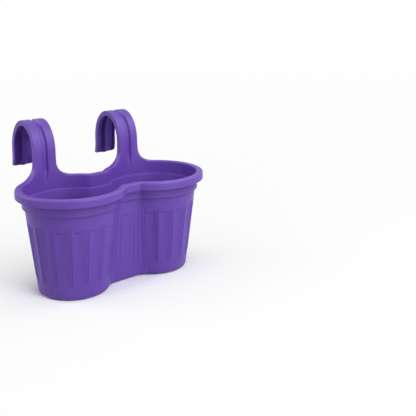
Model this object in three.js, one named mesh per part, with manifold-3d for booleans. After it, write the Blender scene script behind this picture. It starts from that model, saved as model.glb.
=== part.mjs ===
// A double balcony planter: two round pots joined at a waist, with two hooks that hang over a rail.
// Millimetres, +Z up. The origin is on the ground midway between the pots, +X runs along the pots
// and +Y points to the side of the rail, where the hooks are.
import * as THREE from "three";
import { mergeVertices } from "three/addons/utils/BufferGeometryUtils.js";
import Module from "manifold-3d";

// Plan of the two pots
const potX = 95.4; // a pot's axis, from the middle of the planter
const baseRadius = 67.5; // a pot's outside at the ground
const shoulderRadius = 88; // a pot's outside just under the collar
const waistBase = 37.5; // half of the waist's width at the ground
const waistShoulder = 50.5; // and just under the collar
const cornerBase = 31; // hollow corner between a pot and a waist panel, at the ground
const cornerShoulder = 21;

// Wall and floor
const wall = 2.2;
const floorThickness = 2.4;
const kickHeight = 3; // the floor is raised in a disc under each pot, round its drain hole
const kickRadius = 51;
const baseRound = 3.5; // outer bottom edge
const cornerRound = 6; // inner corner between wall and floor

// Collar, ledge and rim
const shoulderZ = 166.3; // where the wall steps out to the collar
const collarStep = 4.6;
const collarWall = 2.2;
const collarRound = 1;
const ledgeZ = 173.5; // the same step inside, seen as a ledge
const ledgeRound = 0.6;
const rimZ = 201;
const rimRadius = 104.6; // outside of the turned-down rim
const rimTop = 7.3; // flat of the rim between its two rounded edges
const rimOuterRound = 3.5;
const rimInnerRound = 2.8;
const rimWall = 2;
const skirtHeight = 15;
const rimCornerMin = 5; // tightest hollow corner of the rim at the waist

// Flutes with scalloped tops, and the fine reeds between them
const flutePitch = THREE.MathUtils.degToRad(22.3);
const fluteWidth = THREE.MathUtils.degToRad(12.4);
const evenFlutes = 6; // one pitch apart, from a pot's outer end on
const lastFlute = THREE.MathUtils.degToRad(130.5); // the last one before the waist stands closer
const fluteDepth = 2;
const scallopZ = 142.5; // where the scallops meet on the ridges
const scallopDrop = 8; // how far each scallop hangs down
const fluteFootZ = 20;
const reedsPerRidge = 3;
const reedShare = 0.29; // from reed to reed, as a share of the ridge's width
const reedWidth = 3;
const reedCrown = 1.8; // flat of a reed's top
const reedHeight = 0.9;
const reedRoot = 1; // how deep a reed's root lies in the wall
const reedFootZ = 29.5;
const reedTopGap = 1.2; // from a reed's top to the meeting point of the scallops

// Hooks
const hookShift = 4.3; // a hook stands this much outward of its pot's axis
const hookWidth = 47.2;
const hookTopZ = 312.5;
const archHalf = 49; // half of the arch's span, outside
const archRise = 62; // the arch is a half ellipse
const backLegZ = 210.5; // lower end of the leg behind the rail
const hookWeb = 2.4;
const flangeDepth = 10.5; // the hook's turned edges, from its face
const flangeWall = 2.3;
const hookEdgeRound = 1.6;
const legFlare = 5; // the back leg's end leans out by this much
const legFlareHeight = 24;
const legCorner = 6; // round of the back leg's two lower corners
const grooveWidth = 12;
const grooveBed = 2.4; // flat of the groove's bottom
const grooveDepth = 4.5;
const grooveTipZ = 184; // the groove runs out on the pot's inner wall
const grooveTipShare = 0.04; // size of the groove at that point
const grooveLap = 4; // how far the groove's lower end laps the hook's own groove
const sweepRadius = 28; // sweep of the rim up into each side of a hook
const sweepLap = 15.5; // the sweep's web laps the hook and the wall by this, past their corner
const lapSink = 0.5; // the web's lapped edge lies this deep in the hook
const flatFromZ = 203; // from here a hook's face eases from the pot's curve to flat
const flatAtZ = 250;
const flangeStub = 0.3; // what is left of a flange beside the sweep

// Drain holes and their plugs
const holeRadius = 6.5;
const plugClearance = 0.3;
const plugHeadRadius = 11.5;
const plugHead = 2.2;
const plugGroundGap = 1;
const plugGripLength = 15;
const plugGripWidth = 3;
const plugGripHeight = 5;
const plugEdge = 0.6;

// Fineness of the curves
const lobeSteps = 16;
const filletSteps = 4;
const fluteSteps = 6;
const roundSteps = 3;
const easeSteps = 5;
const archSteps = 14;
const cornerSteps = 3;
const sweepSteps = 7;
const discSteps = 36;
const gripSteps = 8;

const wasm = await Module();
wasm.setup();

// A closed geometry as a solid, and back
function toSolid(geometry) {
  const bare = geometry.index ? geometry.toNonIndexed() : geometry.clone();
  bare.deleteAttribute("normal");
  bare.deleteAttribute("uv");
  const merged = mergeVertices(bare, 1e-4);
  const corners = Array.from(merged.index.array);
  const kept = [];
  for (let i = 0; i < corners.length; i += 3) {
    const [a, b, c] = corners.slice(i, i + 3);
    if (a !== b && b !== c && c !== a) kept.push(a, b, c);
  }
  return new wasm.Manifold(
    new wasm.Mesh({
      numProp: 3,
      vertProperties: merged.attributes.position.array,
      triVerts: new Uint32Array(kept),
    }),
  );
}

function toGeometry(solid) {
  const mesh = solid.getMesh();
  const geometry = new THREE.BufferGeometry();
  geometry.setAttribute("position", new THREE.BufferAttribute(mesh.vertProperties, 3));
  geometry.setIndex(new THREE.BufferAttribute(mesh.triVerts, 1));
  geometry.computeVertexNormals();
  return geometry;
}

// A skin over rings of points, each ring with the same count or zipped to its neighbour, with a
// flat cap on the first and the last ring. Rings run anticlockwise seen from the end of the list.
function skin(rings) {
  const points = rings.flat();
  const faces = [];
  const starts = rings.map((_, i) => rings.slice(0, i).reduce((sum, ring) => sum + ring.length, 0));
  for (let i = 1; i < rings.length; i++) {
    faces.push(...zip(rings[i - 1], rings[i], starts[i - 1], starts[i]));
  }
  const cap = (ring, start, up) => {
    const normal = new THREE.Vector3();
    ring.forEach((p, k) => normal.add(p.clone().cross(ring[(k + 1) % ring.length])));
    const axis = ["x", "y", "z"].sort((a, b) => Math.abs(normal[b]) - Math.abs(normal[a]))[0];
    const flat = { x: ["y", "z"], y: ["z", "x"], z: ["x", "y"] }[axis];
    const outline = ring.map((p) => new THREE.Vector2(p[flat[0]], p[flat[1]]));
    const facing = normal[axis] > 0 === up;
    THREE.ShapeUtils.triangulateShape(outline, []).forEach((corners) => {
      const turned = THREE.ShapeUtils.isClockWise(corners.map((k) => outline[k]));
      const [a, b, c] = turned === facing ? [...corners].reverse() : corners;
      faces.push([start + a, start + b, start + c]);
    });
  };
  cap(rings[0], starts[0], false);
  cap(rings.at(-1), starts.at(-1), true);
  const geometry = new THREE.BufferGeometry();
  geometry.setFromPoints(points);
  geometry.setIndex(faces.flat());
  return geometry;
}

// Triangles between two rings: square by square when their counts agree, else by their progress
function zip(lower, upper, a0, b0) {
  const faces = [];
  const n = lower.length;
  const m = upper.length;
  if (n === m) {
    for (let k = 0; k < n; k++) {
      const j = (k + 1) % n;
      faces.push([a0 + k, a0 + j, b0 + j], [a0 + k, b0 + j, b0 + k]);
    }
    return faces;
  }
  const s = progress(lower);
  const t = progress(upper);
  let i = 0;
  let j = 0;
  while (i < n || j < m) {
    if (j === m || (i < n && s[i + 1] <= t[j + 1])) {
      faces.push([a0 + (i % n), a0 + ((i + 1) % n), b0 + (j % m)]);
      i++;
    } else {
      faces.push([a0 + (i % n), b0 + ((j + 1) % m), b0 + (j % m)]);
      j++;
    }
  }
  return faces;
}

// How far round a ring each point lies, from 0 to 1
function progress(ring) {
  const lengths = [0];
  ring.forEach((p, k) => lengths.push(lengths[k] + p.distanceTo(ring[(k + 1) % ring.length])));
  return lengths.map((length) => length / lengths.at(-1));
}

// Plan: one quarter of an outline, from a pot's outer end to the middle of the waist panel
function quarter(radius, z) {
  const { panelY, fillet } = waistAt(radius, z);
  const reach = Math.sqrt((radius + fillet) ** 2 - (panelY + fillet) ** 2);
  const turn = Math.atan2(panelY + fillet, -reach);
  const panelX = potX - reach;
  const lobe = radius * turn;
  const curve = fillet * (turn - Math.PI / 2);
  return { radius, fillet, panelX, panelY, turn, lobe, curve, length: lobe + curve + panelX };
}

// The point that lies a given distance along a quarter, moved out by push
function walk(q, distance, push) {
  const spot = (x, y, angle) => [x + push * Math.cos(angle), y + push * Math.sin(angle)];
  if (distance <= q.lobe) {
    const angle = distance / q.radius;
    return spot(potX + q.radius * Math.cos(angle), q.radius * Math.sin(angle), angle);
  }
  if (distance < q.lobe + q.curve) {
    const angle = q.turn - (distance - q.lobe) / q.fillet;
    const x = q.panelX - q.fillet * Math.cos(angle);
    return spot(x, q.panelY + q.fillet * (1 - Math.sin(angle)), angle);
  }
  return spot(q.panelX - (distance - q.lobe - q.curve), q.panelY, Math.PI / 2);
}

// A station is a column of the wall: a rule for its distance along any level's quarter
const onLobe = (angle) => ({ at: (q) => q.radius * angle, across: null });
const onCorner = (share) => ({ at: (q) => q.lobe + share * q.curve, across: null });
const lobePart = (share) => ({ at: (q) => share * q.lobe, across: null });
const fromMiddle = (angle) => ({ at: (q) => q.length - q.radius * angle, across: null });

// All four quarters of a level, through the same stations. level(station) gives radius, z and push.
function ring(stations, level) {
  const points = [];
  const quarters = [[1, 1], [-1, 1], [-1, -1], [1, -1]];
  quarters.forEach(([sx, sy], k) => {
    const order = k % 2 ? [...stations].reverse() : stations;
    order.forEach((station) => {
      const { radius, z, push } = level(station);
      const q = quarter(radius, z);
      const [x, y] = walk(q, station.at(q), push);
      const point = new THREE.Vector3(sx * x, sy * y, z);
      const doubled = (other) => other && other.distanceTo(point) < 1e-6;
      if (!doubled(points.at(-1)) && !doubled(points[0])) points.push(point);
    });
  });
  return points;
}

const wallRadius = (z) => baseRadius + ((shoulderRadius - baseRadius) * z) / shoulderZ;

// Every level is an offset of the outside wall, or above the shoulder of the shoulder's outline, so
// its waist widens and its hollow corner shrinks as the level grows
function waistAt(radius, z) {
  const height = Math.min(z, shoulderZ);
  const share = height / shoulderZ;
  const offset = radius - wallRadius(height);
  const corner = THREE.MathUtils.lerp(cornerBase, cornerShoulder, share) - offset;
  return {
    panelY: THREE.MathUtils.lerp(waistBase, waistShoulder, share) + offset,
    fillet: Math.max(corner, rimCornerMin),
  };
}

const plainStations = [
  ...Array.from({ length: lobeSteps + 1 }, (_, k) => lobePart(k / lobeSteps)),
  ...Array.from({ length: filletSteps }, (_, k) => onCorner((k + 1) / filletSteps)),
];

// An arc of a profile from one angle to another, in radius and height
function arc(radius, z, size, from, to) {
  return Array.from({ length: roundSteps + 1 }, (_, k) => {
    const angle = THREE.MathUtils.degToRad(from + ((to - from) * k) / roundSteps);
    return [radius + size * Math.cos(angle), z + size * Math.sin(angle)];
  });
}

const plain = ([radius, z]) => ring(plainStations, () => ({ radius, z, push: 0 }));

// Heights and radii that several parts of the planter share
const raisedFloor = kickHeight + floorThickness;
const collarRadius = shoulderRadius + collarStep;
const innerTopRadius = rimRadius - rimOuterRound - rimTop - rimInnerRound;
const innerRadius = (z) => wallRadius(z) - wall;
const ridgeWiden = 0.4 * hookWeb; // the ridge behind a groove is wider than the groove by this
const roundShare = 0.3; // middle of a small rounding, as a share of it from its corner

// Flutes: stations of a quarter, with their place across the flute from -1 to 1
const fluteHalf = fluteWidth / 2;
const creaseShares = [0.4, 0.7, 1]; // columns of the hollow corner, past the last ridge's middle
const fluteAngles = [...Array.from({ length: evenFlutes }, (_, k) => k * flutePitch), lastFlute];

function fluteStations() {
  const stations = [];
  const shares = Array.from({ length: fluteSteps + 1 }, (_, k) => (2 * k) / fluteSteps - 1);
  fluteAngles.forEach((angle, k) => {
    if (k > 0) stations.push(onLobe((fluteAngles[k - 1] + angle) / 2));
    shares.forEach((across) => {
      if (angle + across * fluteHalf < -1e-9) return;
      stations.push({ ...onLobe(angle + across * fluteHalf), across });
    });
  });
  stations.push(...creaseShares.map(onCorner));
  shares.filter((across) => across >= 0).reverse().forEach((across) => {
    stations.push({ ...fromMiddle(across * fluteHalf), across });
  });
  return stations;
}

const hollow = (station) => (station.across === null ? 0 : 1 - station.across ** 2);
const scallop = (station) => scallopZ - scallopDrop * Math.sqrt(hollow(station));

function flutedRings() {
  const stations = fluteStations();
  const level = (height, depth) =>
    ring(stations, (station) => {
      const z = height(station);
      return { radius: wallRadius(z), z, push: -depth * hollow(station) };
    });
  return [
    level(() => baseRound, 0),
    level(() => fluteFootZ, 0),
    level(scallop, fluteDepth),
    level(scallop, 0),
  ];
}

// The two pots in one shell: up the outside, over the rim and down the inside
function potShell() {
  const rimStart = rimRadius - rimOuterRound;
  const underRim = rimZ - rimWall;
  const innerFloor = innerRadius(floorThickness + cornerRound) - cornerRound;
  return toSolid(
    skin([
      ...arc(wallRadius(baseRound) - baseRound, baseRound, baseRound, -90, 0).slice(0, -1).map(plain),
      ...flutedRings(),
      plain([shoulderRadius, shoulderZ]),
      plain([collarRadius - collarRound, shoulderZ]),
      plain([collarRadius, shoulderZ + collarRound]),
      plain([innerTopRadius + collarWall, underRim - rimWall]),
      plain([innerTopRadius + collarWall + rimWall, underRim]),
      plain([rimRadius - 1.5 * rimWall, underRim]),
      plain([rimRadius - rimWall, rimZ - skirtHeight]),
      plain([rimRadius, rimZ - skirtHeight]),
      ...arc(rimStart, rimZ - rimOuterRound, rimOuterRound, 0, 90).map(plain),
      ...arc(innerTopRadius + rimInnerRound, rimZ - rimInnerRound, rimInnerRound, 90, 180).map(plain),
      plain([collarRadius - collarWall, ledgeZ]),
      plain([innerRadius(ledgeZ) + ledgeRound, ledgeZ]),
      plain([innerRadius(ledgeZ), ledgeZ - ledgeRound]),
      ...arc(innerFloor, floorThickness + cornerRound, cornerRound, 0, -90).map(plain),
    ]),
  );
}

// Fine reeds stand on each ridge between two flutes, spread over its width
function reeds() {
  const fluteEnds = [
    ...fluteAngles.map((angle) => (q) => q.radius * angle),
    (q) => q.length,
  ];
  const made = [];
  const sides = [[1, 1], [-1, 1], [-1, -1], [1, -1]];
  const root = [[-reedWidth / 2, -reedRoot], [reedWidth / 2, -reedRoot]];
  const section = [...root, [reedCrown / 2, reedHeight], [-reedCrown / 2, reedHeight]];
  for (let ridge = 1; ridge < fluteEnds.length; ridge++) {
    for (let k = 0; k < reedsPerRidge; k++) {
      const place = (k - (reedsPerRidge - 1) / 2) * reedShare;
      for (const [sx, sy] of sides) {
        const rings = [reedFootZ, scallopZ - reedTopGap].map((z) => {
          const level = quarter(wallRadius(z), z);
          const [start, end] = [fluteEnds[ridge - 1](level), fluteEnds[ridge](level)];
          const ridgeWidth = end - start - 2 * fluteHalf * level.radius;
          return section.map(([side, push]) => {
            const along = (start + end) / 2 + place * ridgeWidth - (side * level.radius) / shoulderRadius;
            const [x, y] = walk(level, along, push);
            return new THREE.Vector3(sx * x, sy * y, z);
          });
        });
        made.push(toSolid(skin(sx * sy > 0 ? rings : rings.map((r) => r.reverse()))));
      }
    }
  }
  return made;
}

// Hook section of a given half width and flange: across in x, and depth from the outer face in n
function hookSection(half, flange) {
  const inner = half - flangeWall;
  const lip = grooveWidth / 2;
  const bed = grooveBed / 2;
  const right = [
    [bed, grooveDepth],
    [lip, 0],
    [half - hookEdgeRound, 0],
    [half - roundShare * hookEdgeRound, roundShare * hookEdgeRound],
    [half, hookEdgeRound],
    [half, flange],
    [inner, flange],
    [inner, hookWeb],
    [lip + ridgeWiden, hookWeb],
    [bed + ridgeWiden, grooveDepth + hookWeb],
  ];
  return [...right, ...right.map(([x, n]) => [-x, n]).reverse()];
}

// The face that a hook and the sweeps beside it share, x from the pot's axis: the pot's curve at the
// rim, flat where the arch begins
function faceY(x, n, z) {
  const radius = innerTopRadius + n;
  const flat = THREE.MathUtils.smoothstep(z, flatFromZ, flatAtZ);
  return THREE.MathUtils.lerp(Math.sqrt(radius ** 2 - x * x), radius, flat);
}

// The right hook, x from the pot's axis: up from the pot's inner wall, over the rail and down behind
function hook() {
  const archZ = hookTopZ - archRise;
  const sideTop = rimZ + sweepRadius;
  const backY = innerTopRadius + 2 * archHalf;
  const rings = [];
  for (let k = 0; k < easeSteps; k++) {
    const z = THREE.MathUtils.lerp(rimZ - rimInnerRound, archZ, k / easeSteps);
    const flange = z < sideTop ? hookWeb + flangeStub : flangeDepth;
    const section = hookSection(hookWidth / 2, flange);
    rings.push(section.map(([x, n]) => new THREE.Vector3(hookShift + x, faceY(hookShift + x, n, z), z)));
  }
  const placed = (y, z, ny, nz, half = hookWidth / 2) => {
    const section = hookSection(half, flangeDepth);
    rings.push(section.map(([x, n]) => new THREE.Vector3(hookShift + x, y + ny * n, z + nz * n)));
  };
  for (let k = 0; k <= archSteps; k++) {
    const angle = (Math.PI * k) / archSteps;
    const [across, up] = [Math.cos(angle), Math.sin(angle)];
    const y = innerTopRadius + archHalf * (1 - across);
    const length = Math.hypot(archRise * across, archHalf * up);
    placed(y, archZ + archRise * up, (archRise * across) / length, (-archHalf * up) / length);
  }
  const leg = (lift) => {
    const out = legFlare * (1 - lift / legFlareHeight) ** 2;
    const below = Math.max(legCorner - lift, 0);
    const half = hookWidth / 2 - legCorner + Math.sqrt(legCorner ** 2 - below ** 2);
    placed(backY + out, backLegZ + lift, -1, 0, half);
  };
  leg(legFlareHeight);
  leg(legFlareHeight / 2);
  for (let k = 0; k <= cornerSteps; k++) {
    leg(legCorner * (1 - Math.sin((Math.PI * k) / (2 * cornerSteps))));
  }
  return toSolid(skin(rings));
}

// The rim sweeps up into one side of the right hook: a curved web, with the rim's top turned along
// its edge and growing narrower until it is the hook's flange
function sweep(side) {
  const centre = hookWidth / 2 + sweepRadius;
  const rings = Array.from({ length: sweepSteps + 1 }, (_, k) => {
    const share = k / sweepSteps;
    const eased = THREE.MathUtils.smoothstep(share, 0, 1);
    const angle = Math.PI * (1 + share / 2);
    const edge = THREE.MathUtils.lerp(hookEdgeRound, rimInnerRound, share);
    const depth = THREE.MathUtils.lerp(flangeDepth, rimInnerRound + rimTop, eased);
    const thick = THREE.MathUtils.lerp(flangeWall, rimWall, eased);
    const section = [
      [sweepLap, lapSink],
      [edge, 0],
      [roundShare * edge, roundShare * edge],
      [0, edge],
      [0, depth],
      [thick, depth],
      [thick, hookWeb],
      [sweepLap, hookWeb - lapSink],
    ];
    return section.map(([m, n]) => {
      const x = hookShift + side * (centre + (sweepRadius + m) * Math.cos(angle));
      const z = rimZ + sweepRadius + (sweepRadius + m) * Math.sin(angle);
      return new THREE.Vector3(x, faceY(x, n, z), z);
    });
  });
  return toSolid(skin(side > 0 ? rings.map((r) => r.reverse()) : rings));
}

// The groove runs out to a point on the pot's inner wall. The same form, wider and deeper, is the
// ridge that keeps the wall's thickness behind it.
function grooveEnd({ widen, front, shoulder, back, tipBack }) {
  const topZ = rimZ - rimInnerRound;
  const wallSlope = (innerTopRadius - collarRadius + collarWall) / (topZ - ledgeZ);
  const tipY = innerTopRadius - wallSlope * (topZ - grooveTipZ);
  const level = (z, y, share) => {
    const lip = (grooveWidth / 2) * share + widen;
    const bed = (grooveBed / 2) * share + widen;
    const depth = THREE.MathUtils.lerp(tipBack, grooveDepth + back, share);
    const half = [[bed, depth], [lip, shoulder], [lip, front]];
    const points = [...half, ...half.map(([x, n]) => [-x, n]).reverse()];
    return points.map(([x, n]) => new THREE.Vector3(x, y + n, z)).reverse();
  };
  const tip = level(grooveTipZ, tipY, grooveTipShare);
  return [tip, level(topZ, innerTopRadius, 1), level(topZ + grooveLap, innerTopRadius, 1)];
}

const groove = { widen: 0, front: -2 * rimInnerRound, shoulder: 0, back: 0, tipBack: 0 };
const ridge = {
  widen: ridgeWiden,
  front: 0.2 * hookWeb,
  shoulder: 0.6 * hookWeb,
  back: hookWeb,
  tipBack: 0.8 * collarWall,
};

const drainPlaces = [-potX, potX];

function disc(radius, bottom, top, x) {
  const geometry = new THREE.CylinderGeometry(radius, radius, top - bottom, discSteps);
  return toSolid(geometry.rotateX(Math.PI / 2).translate(x, 0, (top + bottom) / 2));
}

function planterBody() {
  const cutters = [];
  const added = reeds();
  const onBothPots = (piece) => {
    const right = piece.translate([potX, 0, 0]);
    return [right, right.mirror([1, 0, 0])];
  };
  const ridgeEnd = toSolid(skin(grooveEnd(ridge).slice(0, 2))).translate([hookShift, 0, 0]);
  added.push(...[hook(), sweep(1), sweep(-1), ridgeEnd].flatMap(onBothPots));
  cutters.push(...onBothPots(toSolid(skin(grooveEnd(groove))).translate([hookShift, 0, 0])));
  for (const x of drainPlaces) {
    added.push(disc(kickRadius + floorThickness, floorThickness / 2, raisedFloor, x));
    cutters.push(disc(kickRadius, -floorThickness, kickHeight, x));
    cutters.push(disc(holeRadius, 0, 2 * raisedFloor, x));
  }
  const whole = wasm.Manifold.union([potShell(), ...added]);
  return wasm.Manifold.difference([whole, ...cutters]);
}

// A push-in plug with a grip to pull it by, seated on the pot's floor
function drainPlug() {
  const seat = raisedFloor + plugClearance;
  const stem = holeRadius - plugClearance;
  const profile = [
    [0, plugGroundGap],
    [stem - plugEdge, plugGroundGap],
    [stem, plugGroundGap + plugEdge],
    [stem, seat],
    [plugHeadRadius - plugEdge, seat],
    [plugHeadRadius, seat + plugEdge],
    [plugHeadRadius, seat + plugHead - plugEdge],
    [plugHeadRadius - plugEdge, seat + plugHead],
    [0, seat + plugHead],
  ].map(([r, z]) => new THREE.Vector2(r, z));
  const body = new THREE.LatheGeometry(profile, discSteps).rotateX(Math.PI / 2);
  const grip = new THREE.Shape();
  const round = plugGripWidth / 2;
  const straight = plugGripLength / 2 - round;
  grip.absarc(straight, 0, round, -Math.PI / 2, Math.PI / 2);
  grip.absarc(-straight, 0, round, Math.PI / 2, (3 * Math.PI) / 2);
  const bar = new THREE.ExtrudeGeometry(grip, {
    depth: plugGripHeight + plugHead / 2 - plugEdge,
    bevelThickness: plugEdge,
    bevelSize: plugEdge,
    bevelOffset: -plugEdge,
    bevelSegments: 1,
    curveSegments: gripSteps,
  });
  bar.translate(0, 0, seat + plugHead / 2);
  return toSolid(body).add(toSolid(bar));
}

function piece(name, solid, colour, roughness) {
  const material = new THREE.MeshStandardMaterial({ color: colour, roughness, metalness: 0 });
  const mesh = new THREE.Mesh(toGeometry(solid), material);
  mesh.name = name;
  return mesh;
}

const planter = new THREE.Group();
planter.add(piece("planter_body", planterBody(), 0x6a3fb3, 0.5));
["left_drain_plug", "right_drain_plug"].forEach((name, k) => {
  const plug = piece(name, drainPlug(), 0x5b36a0, 0.55);
  plug.position.x = drainPlaces[k];
  planter.add(plug);
});

export default planter;
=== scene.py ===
# %% [markdown]
# # A double balcony planter in purple plastic
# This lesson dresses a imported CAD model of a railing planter: two round pots in one moulding, with
# a turned-down rim and two hooks. The CAD model is the fixed frame. What is made here stands in the
# same place, in metres, with finer curves and real finishes.

import math
from collections import namedtuple
from functools import partial

import bmesh
import bpy
import numpy as np
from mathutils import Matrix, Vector


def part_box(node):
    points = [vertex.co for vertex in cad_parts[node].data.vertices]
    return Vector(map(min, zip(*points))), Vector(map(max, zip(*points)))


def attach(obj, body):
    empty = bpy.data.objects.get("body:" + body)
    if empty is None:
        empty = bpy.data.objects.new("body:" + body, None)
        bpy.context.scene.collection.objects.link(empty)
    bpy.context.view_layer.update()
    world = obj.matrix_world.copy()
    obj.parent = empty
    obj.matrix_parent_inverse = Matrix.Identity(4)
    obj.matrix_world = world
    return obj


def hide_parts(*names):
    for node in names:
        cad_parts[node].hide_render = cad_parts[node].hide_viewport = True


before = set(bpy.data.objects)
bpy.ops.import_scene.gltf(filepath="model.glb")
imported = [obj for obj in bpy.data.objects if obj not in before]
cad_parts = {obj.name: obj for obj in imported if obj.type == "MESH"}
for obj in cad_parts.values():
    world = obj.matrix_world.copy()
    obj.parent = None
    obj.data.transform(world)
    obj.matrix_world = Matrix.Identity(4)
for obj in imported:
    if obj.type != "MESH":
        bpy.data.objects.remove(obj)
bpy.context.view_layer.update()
body_low, body_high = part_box("planter_body")

# %% [markdown]
# ## Sizes
# A maker's drawing of the planter is in millimetres, with a length of 400 mm over the rims. The
# sizes could be typed in metres, but the frame tells how long the planter is here, so one factor
# turns every drawn size into a place in the scene and the drawing keeps its plain numbers. The cells
# below hold that drawing: plan, wall and rim, then flutes and reeds, then hooks.

# %% Sizes of the pots and the rim, in drawn millimetres
DRAWN_LENGTH = 400
MM = (body_high.x - body_low.x) / DRAWN_LENGTH

RIM_RADIUS = 104.6
POT_X = DRAWN_LENGTH / 2 - RIM_RADIUS
BASE_RADIUS = 67.5
SHOULDER_RADIUS = 88
WAIST_BASE = 37.5  # half of the waist's width at the ground
WAIST_SHOULDER = 50.5
CORNER_BASE = 31  # round of the waist's hollow corners at the ground
CORNER_SHOULDER = 21

WALL = 2.2
FLOOR = 2.4
RECESS_HEIGHT = 3  # a round recess under each pot, which raises its floor by as much
RECESS_RADIUS = 51
HOLE_RADIUS = 6.5
FOOT_GAP = 2.6  # the wall ends this far above the ground, and a narrower foot carries it
FOOT_INSET = 7
FLOOR_ROUND = 6  # hollow corner between the wall and the floor

SHOULDER_Z = 166.3
COLLAR_RADIUS = 92.6
COLLAR_WALL = 2.2
COLLAR_ROUND = 1.2
LEDGE_Z = 173.5
RIM_Z = 201
RIM_INNER_ROUND = 2.8
RIM_OUTER_ROUND = 3.5
RIM_FLAT = 7.3
RIM_WALL = 2
SKIRT_HEIGHT = 15
RIM_CORNER_MIN = 5
FACE_RADIUS = RIM_RADIUS - RIM_OUTER_ROUND - RIM_FLAT - RIM_INNER_ROUND
print("one drawn millimetre is", round(MM * 1000, 4), "mm in the scene")

# %% Sizes of the flutes and reeds
FLUTE_PITCH = math.radians(22.3)
FLUTE_HALF = math.radians(12.4) / 2
LOBE_FLUTES = 6  # from a pot's outer end, all one pitch apart
LAST_FLUTE = math.radians(130.5)
FLUTE_DEPTH = 2
FLUTE_DEEPENS = 0.8  # power of the growth from the flute's foot to its full depth
FLUTE_FOOT_Z = 20
SCALLOP_Z = 142.5
SCALLOP_DROP = 8
REEDS = 3
REED_SHARE = 0.29  # from reed to reed, as a share of the ridge's width
REED_WIDTH = 3
REED_HEIGHT = 0.9
REED_FOOT_Z = 29.5
REED_ROOM = 0.96  # the most that three reeds may fill of the room they have on a ridge
print("a flute is", round(math.degrees(2 * FLUTE_HALF), 1), "degrees wide and", FLUTE_DEPTH, "mm deep")

# %% Sizes of the hooks
HOOK_SHIFT = 4.3  # a hook stands this much outward of its pot's axis
HOOK_HALF = 23.6
ARCH_HALF = 49  # half of the arch's span, from face to face
ARCH_RISE = 62
HOOK_TOP_Z = 312.5
BACK_LEG_Z = 210.5
HOOK_WEB = 2.4
FLANGE_DEPTH = 10.5
FLANGE_WALL = 2.3
EDGE_ROUND = 1.6
FLANGE_ROUND = 0.9
SWEEP = 28  # radius of the sweep from the rim up into a hook's side
LEG_CORNER = 6
LEG_FLARE = 5  # how far the back leg's end stands out, over the height below
LEG_FLARE_HEIGHT = 24
FLAT_FROM_Z = 203  # here a hook's face starts to leave the pot's curve
FLAT_AT_Z = 250  # and here it is flat
ARCH_Z = HOOK_TOP_Z - ARCH_RISE
print("the arch springs at", ARCH_Z, "mm and spans", 2 * ARCH_HALF, "mm")

# %% [markdown]
# ## Plan of the pots
# Seen from above, each wall is a round lobe round a pot's axis, a hollow corner and a straight
# waist panel, mirrored into four quarters. Each level could have its own drawn curve, but then
# neighbouring levels would not match. Here one rule for a quarter gives every level: a point is
# found by walking a distance along it. Offsetting the radius then gives the rim, the collar and
# the inside of the wall, and their hollow corners shrink as the level grows.


# %% The rule for one quarter of an outline
def wall_radius(z):
    return BASE_RADIUS + (SHOULDER_RADIUS - BASE_RADIUS) * z / SHOULDER_Z


def waist_at(radius, z):
    """Half of the waist's width and the round of its corners, for a skin of that radius at z."""
    share = min(z / SHOULDER_Z, 1)
    out = radius - BASE_RADIUS - (SHOULDER_RADIUS - BASE_RADIUS) * share
    half = WAIST_BASE + (WAIST_SHOULDER - WAIST_BASE) * share
    corner = CORNER_BASE + (CORNER_SHOULDER - CORNER_BASE) * share
    return half + out, max(corner - out, RIM_CORNER_MIN)


class Quarter:
    """From a pot's outer end, round the lobe and the hollow corner, to the middle of the waist."""

    def __init__(self, radius, z):
        self.radius = radius
        self.panel_y, self.fillet = waist_at(radius, z)
        reach = math.sqrt((radius + self.fillet) ** 2 - (self.panel_y + self.fillet) ** 2)
        self.turn = math.atan2(self.panel_y + self.fillet, -reach)
        self.panel_x = POT_X - reach
        self.lobe = radius * self.turn
        self.curve = self.fillet * (self.turn - math.pi / 2)
        self.length = self.lobe + self.curve + self.panel_x

    def walk(self, distance, push=0.0):
        """The point that far along the quarter, pushed outward."""
        if distance <= self.lobe:
            angle = distance / self.radius
            reach = self.radius + push
            return POT_X + reach * math.cos(angle), reach * math.sin(angle)
        if distance < self.lobe + self.curve:
            angle = self.turn - (distance - self.lobe) / self.fillet
            reach = self.fillet - push
            y = self.panel_y + self.fillet - reach * math.sin(angle)
            return self.panel_x - reach * math.cos(angle), y
        return self.length - distance, self.panel_y + push


shoulder = Quarter(SHOULDER_RADIUS, SHOULDER_Z)
print("the lobe turns through", round(math.degrees(shoulder.turn), 1), "degrees")

# %% [markdown]
# ## A skin that keeps its own vertices
# The planter is one moulding, so its surface is one closed skin with no seams. It could be joined
# from separate solids, but a join leaves slivers just where the rim flows into a hook. Here each
# row of vertices is laid once, and neighbouring rows are stitched by their indices.


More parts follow.
